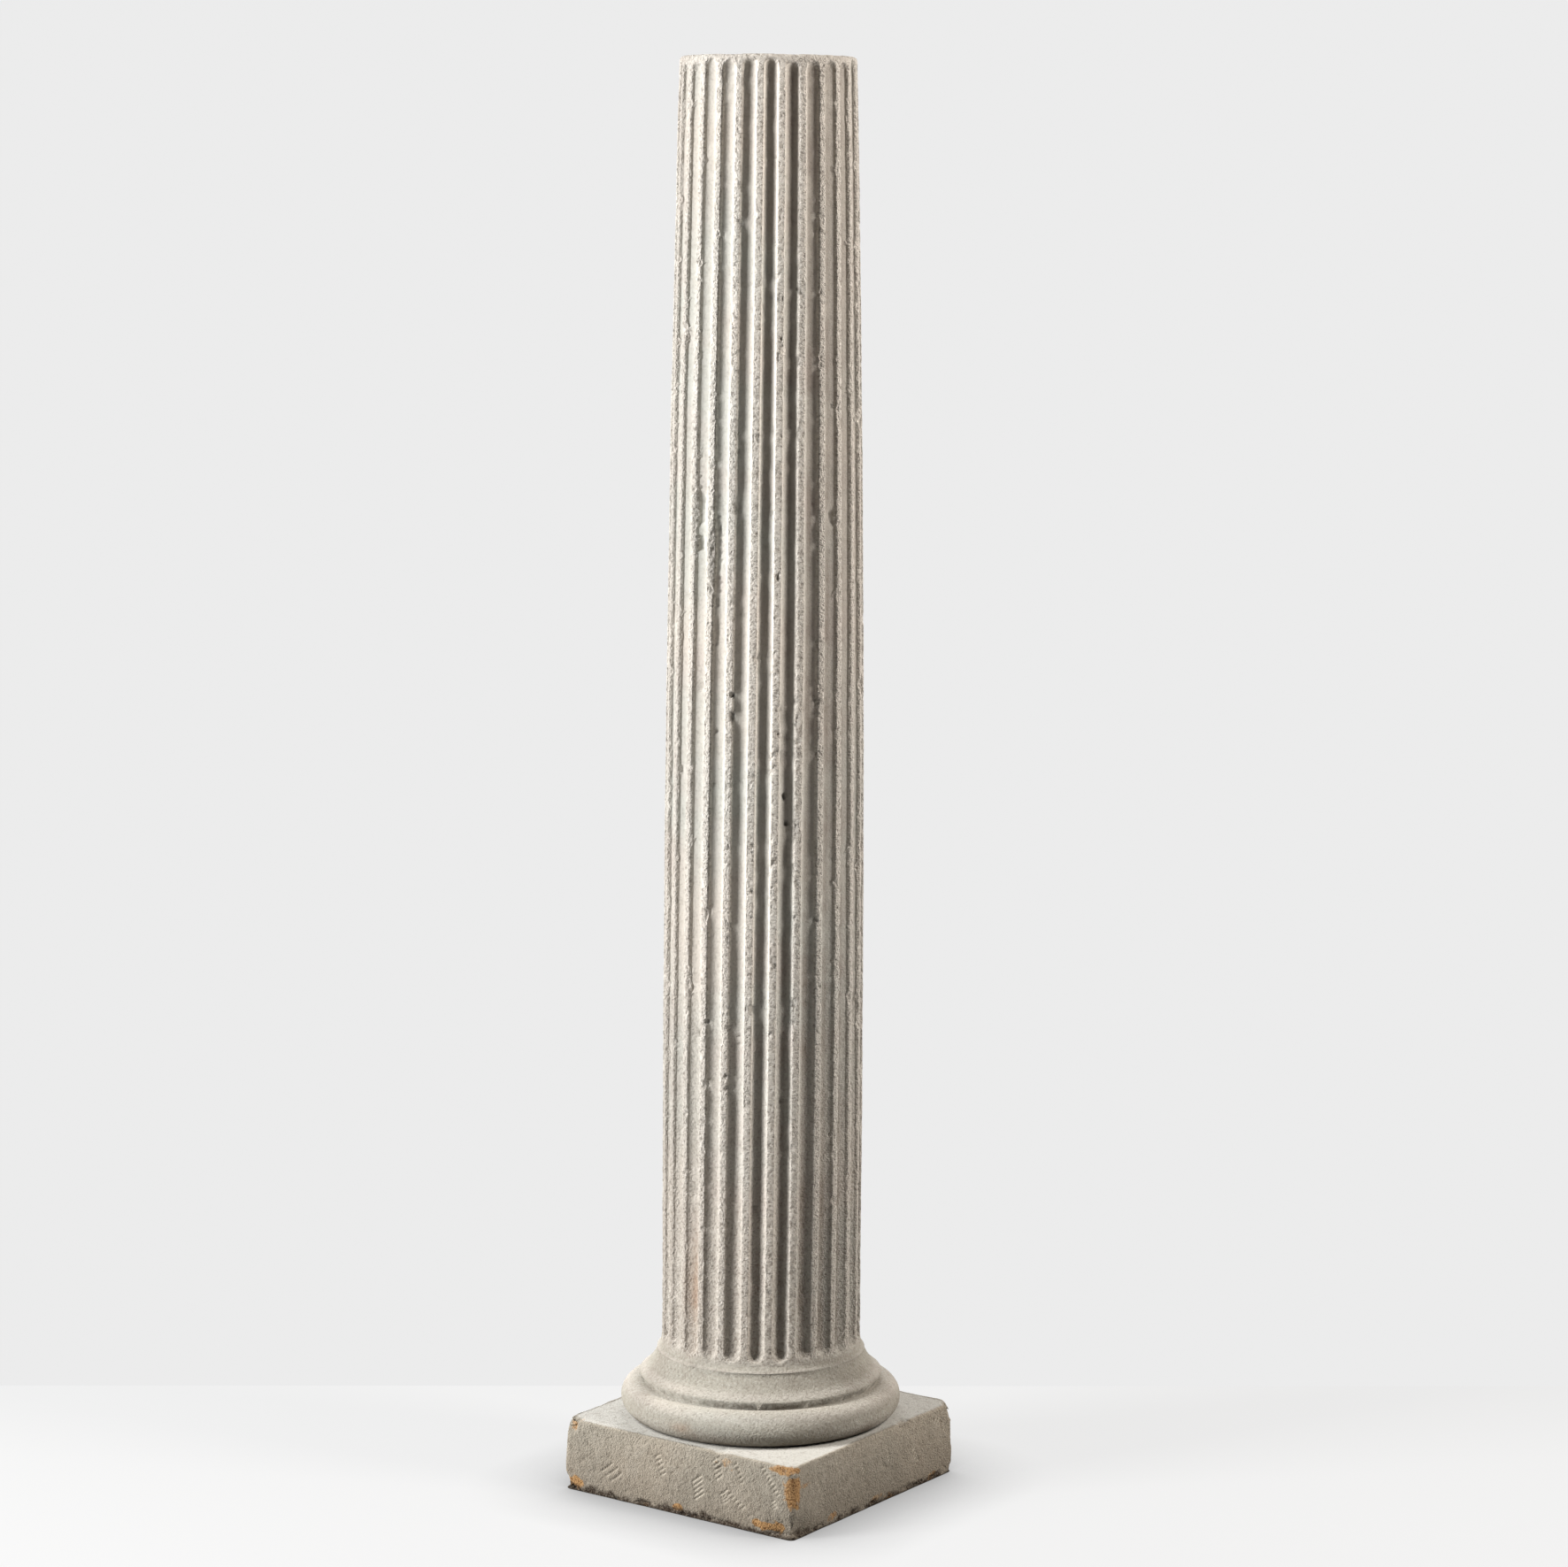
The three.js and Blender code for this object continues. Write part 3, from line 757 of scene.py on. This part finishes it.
def paint_column(piece):
    """Dirt and painted shade in the flutes, on the base, under the lip and in the losses, darker stone
    at the far left, stains, clean flute walls, and painted highlights on the mouldings' upward edges.
    """
    points = mesh_points(piece)
    height = points[:, 2]
    radius = np.hypot(points[:, 0], points[:, 1])
    turn = np.degrees(np.arctan2(points[:, 0], -points[:, 1]))
    viewed = from_view(turn)
    shaded_side = ease(viewed, *SHADED_SIDE_START) * ease(viewed, *SHADED_SIDE_END)
    place = flute_place(turn, height)
    on_shaft = ease(height, *DIRT_FOOT)
    on_base = 1 - on_shaft

    # Painted shade with a little dirt in the flute hollows, strongest on the side of the view away from
    # the key light, and dirt low down
    flute_dirt_and_shade = FLUTE_DIRT_AND_SHADE + SHADED_SIDE_FLUTE_SHADE * shaded_side + LOW_GRIME * ease(height, *LOW_GRIME_HEIGHTS)
    flute_dirt_and_shade = flute_dirt_and_shade * ease(place, *FLUTE_DIRT_AND_SHADE_PLACES) * on_shaft
    streaks = STREAK_MEAN + STREAK_SWAY * rough(points * STREAK_STRETCH, STREAK_LUMP, 70)
    # Dirt and painted shade on the lower half of the torus, and painted shade on the base's side away
    # from the key light, in streaks
    torus_underside = TORUS_UNDERSIDE_DIRT_AND_SHADE * ease(height, *TORUS_UNDERSIDE_HEIGHTS)
    base_dirt_and_shade = (torus_underside + SHADED_SIDE_BASE_SHADE * shaded_side) * streaks * on_base
    # Painted shade with some dirt in the hollow under the lip, growing towards the right of the view
    under_lip = UNDER_LIP_SHADE_AND_DIRT * hump(height, UNDER_LIP_HEIGHT, UNDER_LIP_SPREAD)
    under_lip = under_lip * ease(radius, *UNDER_LIP_RADII) * ease(viewed, *UNDER_LIP_TURNS)
    scars = scar_depth(turn[:, None], height[:, None], radius[:, None], points[:, None, :])[:, 0]
    # Painted shade with some dirt inside the deeper losses and cracks
    in_scars = SCAR_SHADE_AND_DIRT * ease(scars, *SCAR_SHADE_DEPTHS) * on_shaft
    # Fillets and mouldings darker towards the far left of the view, the side that faces the key light
    far_left_darkening = FILLET_FAR_LEFT_DARKENING * ease(place, *FAR_LEFT_PLACES) * on_shaft + BASE_FAR_LEFT_DARKENING * on_base
    far_left_darkening = far_left_darkening * hump(viewed, FAR_LEFT_TURN, FAR_LEFT_SPREAD)
    # All the darkening together: dirt and painted shade
    grime = np.maximum.reduce([flute_dirt_and_shade, base_dirt_and_shade, under_lip, in_scars, far_left_darkening])

    rust = np.zeros(len(points))
    for spot, strength in ((STAIN, STAIN_STRENGTH), (DRIP, DRIP_STRENGTH)):
        across = hump(viewed, spot["turn"], spot["turn_spread"])
        rust = rust + strength * across * hump(height, spot["height"], spot["height_spread"])
    # Clean flute walls, and painted highlights where the bead, the torus top and the foot of the slope
    # face up into the light
    wall = ease(place, *WALL_PLACES) * on_shaft
    bead_highlight = hump(height, BEAD_HEIGHT, BEAD_SPREAD) * ease(radius, *BEAD_RADII)
    torus_top_highlight = PAINTED_TOP_HIGHLIGHT * hump(height, TORUS_TOP_HEIGHT, TORUS_TOP_SPREAD)
    torus_top_highlight = torus_top_highlight * ease(radius, *TORUS_TOP_RADII)
    slope_foot_highlight = PAINTED_TOP_HIGHLIGHT * hump(height, SLOPE_FOOT_HEIGHT, SLOPE_FOOT_SPREAD)
    clean = np.maximum.reduce([wall, bead_highlight, torus_top_highlight, slope_foot_highlight])
    paint(piece, rust=rust, grime=grime, clean=clean)


def paint_plinth(piece):
    """Rust patches, a black-brown foot, a painted shadow ring where the column's torus sits on the top,
    pale chisel strokes and a pale top.
    """
    points = mesh_points(piece)
    up = points[:, 2]
    rust = np.zeros(len(points))
    spread = face_places(points)
    for name, patches in (("left", LEFT_RUST), ("right", RIGHT_RUST)):
        along, _ = spread[name]
        out = -points[:, 1] if name == "left" else points[:, 0]
        near = ease(out, *RUST_NEAR_FACE)
        rust = np.maximum(rust, near * patch_mask(along, up, patches, points, 60))
    inward = PLINTH_HALF - np.maximum(abs(points[:, 0]), abs(points[:, 1]))
    near_side = ease(inward, *FOOT_DIRT_INWARD)
    ragged_up = up + FOOT_DIRT_SWAY * rough(points, FOOT_DIRT_LUMP, 63)
    foot = ease(ragged_up, *FOOT_DIRT_HEIGHTS) * near_side
    foot_rust = FOOT_RUST * ease(rough(points, FOOT_RUST_LUMP, 66), *FOOT_RUST_SPAN)
    foot_rust = foot_rust * ease(up, *FOOT_RUST_HEIGHTS) * near_side
    top = ease(up, *PALE_TOP_HEIGHTS) * ease(inward, *PALE_TOP_INWARD)
    # A painted shadow ring on the top, in the crevice under the column's torus
    joint_shadow = JOINT_SHADOW * hump(np.hypot(points[:, 0], points[:, 1]), JOINT_SHADOW_RADIUS, JOINT_SHADOW_SPREAD) * top
    strokes = ease(claw_depth(points), *PALE_STROKE_DEPTHS)
    rust = np.maximum(rust, foot_rust)
    paint(piece, rust=rust, grime=np.maximum(foot, joint_shadow), clean=top, scuff=strokes)


# Materials
STONE_REFLECTANCE = 0.73
STONE_SPECULAR = 0.2
CARVED_LUMPS = {"broad": 260, "patchy": 60, "mottle": 11, "grain": 3.4, "fine": 1.5}
CARVED_RELIEF = 0.004
CARVED_ROUGHNESS = (0.95, 0.82)
TOOLED_LUMPS = {"broad": 120, "patchy": 24, "mottle": 8, "grain": 2.8, "fine": 1.5}
TOOLED_RELIEF = 0.003
TOOLED_ROUGHNESS = (0.96, 0.85)
SHAFT_FOOT_BAND = (0.182, 0.195)
LOW_DIRT_BAND = (0.7, 0.2)
LOW_SKIN_BAND = (0.8, 0.25)
PLINTH_DIRT_BAND = (0.085, 0.0)

# Colours of the column, as they look on a screen in the studio's light
WARM_WHITE = (228, 221, 211)
GREENISH_WHITE = (219, 218, 210)
PINKISH_WHITE = (222, 210, 202)
FILLET_WHITE = (220, 212, 202)
BASE_GREY = (198, 196, 184)
LOW_BROWN = (158, 144, 125)
MOTTLE_GREY = (170, 160, 146)
DARK_GRAIN = (112, 101, 88)
# Pale grains and painted glints
PALE_GRAIN_AND_GLINT = (244, 240, 232)
# Brown for dirt and painted shade
DIRT_AND_SHADE_BROWN = (98, 80, 62)
STAIN_BROWN = (165, 122, 82)

# Colours of the plinth
TAN = (190, 179, 162)
GREY_TAN = (179, 171, 156)
PALE_TAN = (200, 191, 176)
LOW_TAN = (120, 107, 92)
TOP_GREY = (200, 197, 189)
MOTTLE_BROWN = (128, 116, 101)
DARK_TOOLED_GRAIN = (92, 80, 67)
# Pale grains and painted glints on the plinth
PALE_TOOLED_GRAIN_AND_GLINT = (216, 207, 192)
STROKE_WHITE = (226, 217, 200)
RUST_ORANGE = (198, 152, 96)
RUST_BROWN = (112, 72, 36)
# Black-brown for the foot's dirt and for the painted shadow ring under the torus
FOOT_DIRT_AND_JOINT_SHADOW_BLACK = (62, 48, 36)


def add_node(tree, kind, values=None, **settings):
    """A node with its settings, and its inputs set to numbers, colours or other nodes' outputs."""
    made = tree.nodes.new(kind)
    for name, value in settings.items():
        setattr(made, name, value)
    for name, value in (values or {}).items():
        if isinstance(value, bpy.types.NodeSocket):
            tree.links.new(value, made.inputs[name])
        else:
            made.inputs[name].default_value = value
    return made


def noise_node(tree, place, lump, detail=2.0, roughness=0.55):
    """Noise from 0 to 1 with lumps of about that size in mm."""
    values = {"Vector": place, "Scale": 1 / (lump * MM), "Detail": detail, "Roughness": roughness}
    return add_node(tree, "ShaderNodeTexNoise", values).outputs["Fac"]


def span_node(tree, value, low, high, start=0.0, end=1.0):
    """A value between low and high spread from start to end, and held at both ends."""
    values = {"Value": value, "From Min": low, "From Max": high, "To Min": start, "To Max": end}
    return add_node(tree, "ShaderNodeMapRange", values).outputs["Result"]


def math_node(tree, operation, first, second):
    """Two values added, multiplied and so on."""
    return add_node(tree, "ShaderNodeMath", {0: first, 1: second}, operation=operation).outputs[0]


def mix_node(tree, share, first, second):
    """Two colours mixed by a share; a colour is a node's output or a screen colour."""
    made = add_node(tree, "ShaderNodeMix", data_type="RGBA")
    for socket, value in ((made.inputs[0], share), (made.inputs[6], first), (made.inputs[7], second)):
        if isinstance(value, bpy.types.NodeSocket):
            tree.links.new(value, socket)
        else:
            socket.default_value = colour(*value)
    return made.outputs[2]


def colour(red, green, blue):
    """A screen colour of 0 to 255 under the studio's light, as the stone's own linear colour."""
    parts = [c / 255 for c in (red, green, blue)]
    linear = [c / 12.92 if c < 0.04045 else ((c + 0.055) / 1.055) ** 2.4 for c in parts]
    return tuple(STONE_REFLECTANCE * c for c in linear) + (1.0,)


def new_stone(name):
    """An empty stone material: its tree, its shader and its coordinates."""
    material = bpy.data.materials.new(name)
    material.use_nodes = True
    tree = material.node_tree
    shader = tree.nodes["Principled BSDF"]
    shader.inputs["Specular IOR Level"].default_value = STONE_SPECULAR
    shader.inputs["Diffuse Roughness"].default_value = 1.0
    place = add_node(tree, "ShaderNodeTexCoord").outputs["Object"]
    return material, tree, shader, place


def stone_noises(tree, place, lumps):
    """The five noises of a stone, from its broadest patches to its finest grain."""
    broad = noise_node(tree, place, lumps["broad"], 2)
    patchy = noise_node(tree, place, lumps["patchy"], 3)
    mottle = noise_node(tree, place, lumps["mottle"], 2)
    grain = noise_node(tree, place, lumps["grain"], 2, 0.65)
    fine = noise_node(tree, place, lumps["fine"], 1)
    return broad, patchy, mottle, grain, fine


def height_node(tree, place):
    """The height above the floor, in metres."""
    return add_node(tree, "ShaderNodeSeparateXYZ", {"Vector": place}).outputs["Z"]


def mask_node(tree, name):
    """A mask kept on the mesh: weathering, painted shade and painted highlights."""
    return add_node(tree, "ShaderNodeAttribute", attribute_name=name).outputs["Fac"]


def finish_stone(tree, shader, shade, relief, distance, roughness):
    """Joins the colour, the fine relief and the roughness to the shader."""
    bump = add_node(tree, "ShaderNodeBump", {"Height": relief, "Distance": distance, "Strength": 1.0})
    tree.links.new(shade, shader.inputs["Base Color"])
    tree.links.new(bump.outputs["Normal"], shader.inputs["Normal"])
    tree.links.new(roughness, shader.inputs["Roughness"])


def carved_stone():
    """Pale stone: smooth light flute walls, granular fillets, dirt and painted shade on the mouldings,
    and painted highlights on their upward edges.
    """
    material, tree, shader, place = new_stone("carved_stone")
    rust, grime, clean = (mask_node(tree, name) for name in ("rust", "grime", "clean"))
    broad, patchy, mottle, grain, fine = stone_noises(tree, place, CARVED_LUMPS)
    shade = mix_node(tree, span_node(tree, broad, 0.4, 0.62), WARM_WHITE, GREENISH_WHITE)
    shade = mix_node(tree, span_node(tree, patchy, 0.5, 0.75, 0, 0.5), shade, PINKISH_WHITE)

    height = height_node(tree, place)
    on_shaft = span_node(tree, height, *SHAFT_FOOT_BAND)
    # Clean flute walls and painted highlights keep the pale colour; the rest takes the fillet and base
    # colours
    rough_skin = math_node(tree, "SUBTRACT", 1.0, clean)
    fillet = math_node(tree, "MULTIPLY", rough_skin, on_shaft)
    shade = mix_node(tree, math_node(tree, "MULTIPLY", fillet, 0.5), shade, FILLET_WHITE)
    base = math_node(tree, "MULTIPLY", rough_skin, span_node(tree, on_shaft, 1, 0, 0, 0.8))
    shade = mix_node(tree, base, shade, BASE_GREY)
    shade = mix_node(tree, span_node(tree, height, *LOW_DIRT_BAND, 0, 0.25), shade, LOW_BROWN)
    shade = mix_node(tree, span_node(tree, mottle, 0.5, 0.3, 0, 0.2), shade, MOTTLE_GREY)

    low_skin = span_node(tree, height, *LOW_SKIN_BAND, 0, 0.75)
    skin = math_node(tree, "MAXIMUM", fillet, math_node(tree, "MULTIPLY", low_skin, on_shaft))
    skin = math_node(tree, "MAXIMUM", skin, span_node(tree, on_shaft, 1, 0, 0, 0.35))
    dark = span_node(tree, grain, 0.48, 0.32)
    dark = math_node(tree, "MULTIPLY", dark, span_node(tree, skin, 0, 1, 0.2, 0.58))
    shade = mix_node(tree, dark, shade, DARK_GRAIN)
    # Pale grains and painted glints on the rough skin
    pale_and_glint = span_node(tree, grain, 0.56, 0.7)
    pale_and_glint = math_node(tree, "MULTIPLY", pale_and_glint, span_node(tree, skin, 0, 1, 0.2, 0.55))
    shade = mix_node(tree, pale_and_glint, shade, PALE_GRAIN_AND_GLINT)
    # Dirt and painted shade, broken up in patches
    dirt_and_shade_share = math_node(tree, "MULTIPLY", grime, span_node(tree, patchy, 0.3, 0.65, 0.45, 0.95))
    shade = mix_node(tree, dirt_and_shade_share, shade, DIRT_AND_SHADE_BROWN)
    stain = math_node(tree, "MULTIPLY", rust, span_node(tree, patchy, 0.35, 0.55, 0.5, 1.0))
    shade = mix_node(tree, stain, shade, STAIN_BROWN)

    relief = math_node(tree, "ADD", grain, math_node(tree, "MULTIPLY", fine, 0.4))
    relief = math_node(tree, "MULTIPLY", relief, span_node(tree, skin, 0, 1, 0.2, 1.0))
    roughness = span_node(tree, grain, 0.3, 0.7, *CARVED_ROUGHNESS)
    finish_stone(tree, shader, shade, relief, CARVED_RELIEF, roughness)
    return material


def tooled_stone():
    """Grey-tan stone, rough from the chisel, rusty in places, black-brown along the foot, and with a
    painted shadow ring under the column.
    """
    material, tree, shader, place = new_stone("tooled_stone")
    masks = ("rust", "grime", "clean", "scuff")
    rust, grime, top, scuff = (mask_node(tree, name) for name in masks)
    broad, patchy, mottle, grain, fine = stone_noises(tree, place, TOOLED_LUMPS)
    shade = mix_node(tree, span_node(tree, broad, 0.38, 0.62), TAN, GREY_TAN)
    shade = mix_node(tree, span_node(tree, patchy, 0.5, 0.72, 0, 0.6), shade, PALE_TAN)
    low = span_node(tree, height_node(tree, place), *PLINTH_DIRT_BAND, 0, 0.5)
    shade = mix_node(tree, low, shade, LOW_TAN)
    shade = mix_node(tree, top, shade, TOP_GREY)
    shade = mix_node(tree, span_node(tree, mottle, 0.48, 0.3, 0, 0.3), shade, MOTTLE_BROWN)
    shade = mix_node(tree, span_node(tree, grain, 0.46, 0.3, 0, 0.35), shade, DARK_TOOLED_GRAIN)
    # Pale grains and painted glints
    shade = mix_node(tree, span_node(tree, grain, 0.58, 0.74, 0, 0.35), shade, PALE_TOOLED_GRAIN_AND_GLINT)
    shade = mix_node(tree, math_node(tree, "MULTIPLY", scuff, 0.75), shade, STROKE_WHITE)

    rusty = math_node(tree, "ADD", rust, math_node(tree, "SUBTRACT", mottle, 0.5))
    rusty = span_node(tree, rusty, 0.35, 0.7)
    rusty = math_node(tree, "MULTIPLY", rusty, span_node(tree, rust, 0.05, 0.3))
    shade = mix_node(tree, math_node(tree, "MULTIPLY", rusty, 0.85), shade, RUST_ORANGE)
    deep = math_node(tree, "MULTIPLY", rusty, span_node(tree, grain, 0.5, 0.38, 0, 0.8))
    shade = mix_node(tree, deep, shade, RUST_BROWN)
    # Black-brown dirt along the foot and the painted shadow ring under the torus
    black = math_node(tree, "MULTIPLY", grime, span_node(tree, grain, 0.62, 0.42, 0.55, 1.0))
    shade = mix_node(tree, black, shade, FOOT_DIRT_AND_JOINT_SHADOW_BLACK)

    relief = math_node(tree, "ADD", grain, math_node(tree, "MULTIPLY", fine, 0.5))
    relief = math_node(tree, "MULTIPLY", relief, span_node(tree, top, 0, 1, 1.0, 0.3))
    roughness = span_node(tree, grain, 0.3, 0.7, *TOOLED_ROUGHNESS)
    finish_stone(tree, shader, shade, relief, TOOLED_RELIEF, roughness)
    return material


# Pieces
def make_column():
    """The base mouldings and the fluted shaft, cut from one stone."""
    rings = column_points()
    rows, columns = rings.shape[:2]
    points = np.concatenate([rings.reshape(-1, 3), [(0, 0, BED), (0, 0, TOP)]])
    piece = new_mesh_piece("column_stone", points, ring_triangles(rows, columns))
    thin_out(piece, COLUMN_TRIANGLES)
    paint_column(piece)
    piece.data.materials.append(carved_stone())
    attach(piece, "root")
    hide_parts("fluted_shaft")
    return piece


def make_plinth():
    """The square block under the column."""
    across = round(PLINTH_SIDE / PLINTH_CELL)
    counts = (across, across, round(PLINTH_HEIGHT / PLINTH_CELL))
    lattice, triangles = box_lattice(counts)
    piece = new_mesh_piece("plinth_stone", plinth_points(lattice, counts), triangles)
    thin_out(piece, PLINTH_TRIANGLES)
    paint_plinth(piece)
    piece.data.materials.append(tooled_stone())
    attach(piece, "root")
    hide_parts("plinth")
    return piece


# Studio, in metres, watts and degrees to the right of the view
FLOOR_BACK = 0.42
FLOOR_BACK_SLANT = 0.0166
FLOOR_FRONT = 5.5
FLOOR_HALF_WIDTH = 6.0
FLOOR_DROP = 0.0005
FLOOR_COLOUR = (0.075, 0.075, 0.075, 1)
FLOOR_GLOW = 0.76
# How far from the plinth the floor's painted contact shadow reaches
PAINTED_CONTACT_SHADOW_REACH = 0.14
FLOOR_BOUNCE = (0.3, 0.3, 0.3, 1)
WALL_GREY = 0.838
AMBIENT = 0.002
KEY_LIGHT = {"bearing": -66, "height": 1.9, "aim_height": 1.0, "size": (0.8, 2.6), "power": 230}
FILL_LIGHT = {"bearing": 69, "height": 2.5, "aim_height": 1.2, "size": (0.6, 1.4), "power": 138}
BACK_LIGHT = {"bearing": 180, "height": 1.8, "aim_height": 1.0, "size": (1.6, 2.2), "power": 150}
LIGHT_DISTANCE = 2.6
WHITE = (1.0, 1.0, 1.0)
FILL_TINT = (1.0, 0.95, 0.9)
TURN = Matrix.Rotation(math.radians(VIEW_TURN), 4, "Z")


def make_floor():
    """A pale glowing floor that ends a little behind the column, on a line that the camera sees level,
    with a painted contact shadow round the plinth.
    """
    slant = FLOOR_BACK_SLANT * FLOOR_HALF_WIDTH
    corners = [
        (-FLOOR_HALF_WIDTH, -FLOOR_FRONT), (FLOOR_HALF_WIDTH, -FLOOR_FRONT),
        (FLOOR_HALF_WIDTH, FLOOR_BACK + slant), (-FLOOR_HALF_WIDTH, FLOOR_BACK - slant),
    ]
    mesh = bpy.data.meshes.new("floor")
    mesh.from_pydata([TURN @ Vector((x, y, -FLOOR_DROP)) for x, y in corners], [], [(0, 1, 2, 3)])
    floor = bpy.data.objects.new("floor", mesh)
    bpy.context.scene.collection.objects.link(floor)
    material = bpy.data.materials.new("pale_floor")
    material.use_nodes = True
    tree = material.node_tree
    shader = tree.nodes["Principled BSDF"]
    shader.inputs["Base Color"].default_value = FLOOR_COLOUR
    shader.inputs["Roughness"].default_value = 0.7
    shader.inputs["Specular IOR Level"].default_value = 0.1
    shader.inputs["Emission Color"].default_value = (*WHITE, 1)
    # Painted contact shadow: the floor's glow dims where the plinth is near
    unoccluded_share = add_node(tree, "ShaderNodeAmbientOcclusion", {"Distance": PAINTED_CONTACT_SHADOW_REACH}).outputs["AO"]
    glow_with_painted_shadow = span_node(tree, unoccluded_share, 0.0, 1.0, 0.0, FLOOR_GLOW)
    tree.links.new(glow_with_painted_shadow, shader.inputs["Emission Strength"])
    bounce = add_node(tree, "ShaderNodeBsdfDiffuse", {"Color": FLOOR_BOUNCE})
    seen = add_node(tree, "ShaderNodeLightPath").outputs["Is Camera Ray"]
    mixed = add_node(tree, "ShaderNodeMixShader", {0: seen, 1: bounce.outputs[0], 2: shader.outputs[0]})
    tree.links.new(mixed.outputs[0], tree.nodes["Material Output"].inputs["Surface"])
    mesh.materials.append(material)


def make_softbox(name, bearing, height, aim_height, size, power, tint=WHITE, only=()):
    """A soft light aimed at the column's axis, which may be kept to some pieces."""
    light = bpy.data.lights.new(name, "AREA")
    light.shape = "RECTANGLE"
    light.size, light.size_y = size
    light.energy = power
    light.color = tint
    lamp = bpy.data.objects.new(name, light)
    bpy.context.scene.collection.objects.link(lamp)
    angle = math.radians(bearing)
    across, toward = LIGHT_DISTANCE * math.sin(angle), LIGHT_DISTANCE * math.cos(angle)
    spot = TURN @ Vector((across, -toward, height))
    lamp.location = spot
    lamp.rotation_euler = (Vector((0, 0, aim_height)) - spot).to_track_quat("-Z", "Y").to_euler()
    if only:
        lit = bpy.data.collections.new(name + "_lit")
        for piece in only:
            lit.objects.link(piece)
        lamp.light_linking.receiver_collection = lit


def make_world():
    """A light grey backdrop for the camera, and a little even light for everything else."""
    world = bpy.data.worlds.new("studio")
    bpy.context.scene.world = world
    world.use_nodes = True
    tree = world.node_tree
    background = tree.nodes["Background"]
    background.inputs["Color"].default_value = (*WHITE, 1)
    seen = add_node(tree, "ShaderNodeLightPath").outputs["Is Camera Ray"]
    tree.links.new(span_node(tree, seen, 0, 1, AMBIENT, WALL_GREY), background.inputs["Strength"])


def make_camera():
    """The camera, a little below the column's top and looking slightly down."""
    yaw, pitch, roll = (math.radians(a) for a in (CAMERA_YAW, CAMERA_PITCH, CAMERA_ROLL))
    ahead = Vector((math.sin(yaw), math.cos(yaw), 0))
    forward = math.cos(pitch) * ahead - math.sin(pitch) * Vector((0, 0, 1))
    level = Vector((math.cos(yaw), -math.sin(yaw), 0))
    upright = level.cross(forward)
    right = math.cos(roll) * level + math.sin(roll) * upright
    up = math.cos(roll) * upright - math.sin(roll) * level
    axes = Matrix((right, up, -forward)).transposed().to_4x4()
    data = bpy.data.cameras.new("camera")
    data.sensor_width = CAMERA_SENSOR
    data.lens = CAMERA_LENS
    camera = bpy.data.objects.new("camera", data)
    bpy.context.scene.collection.objects.link(camera)
    camera.matrix_world = TURN @ Matrix.Translation((0, -CAMERA_DISTANCE, CAMERA_HEIGHT)) @ axes
    bpy.context.scene.camera = camera


# The scene
stones = [make_column(), make_plinth()]
make_floor()
make_softbox("key", **KEY_LIGHT)
make_softbox("fill", **FILL_LIGHT, tint=FILL_TINT)
make_softbox("back", **BACK_LIGHT, only=stones)
make_world()
make_camera()
bpy.context.scene.view_settings.view_transform = "Standard"
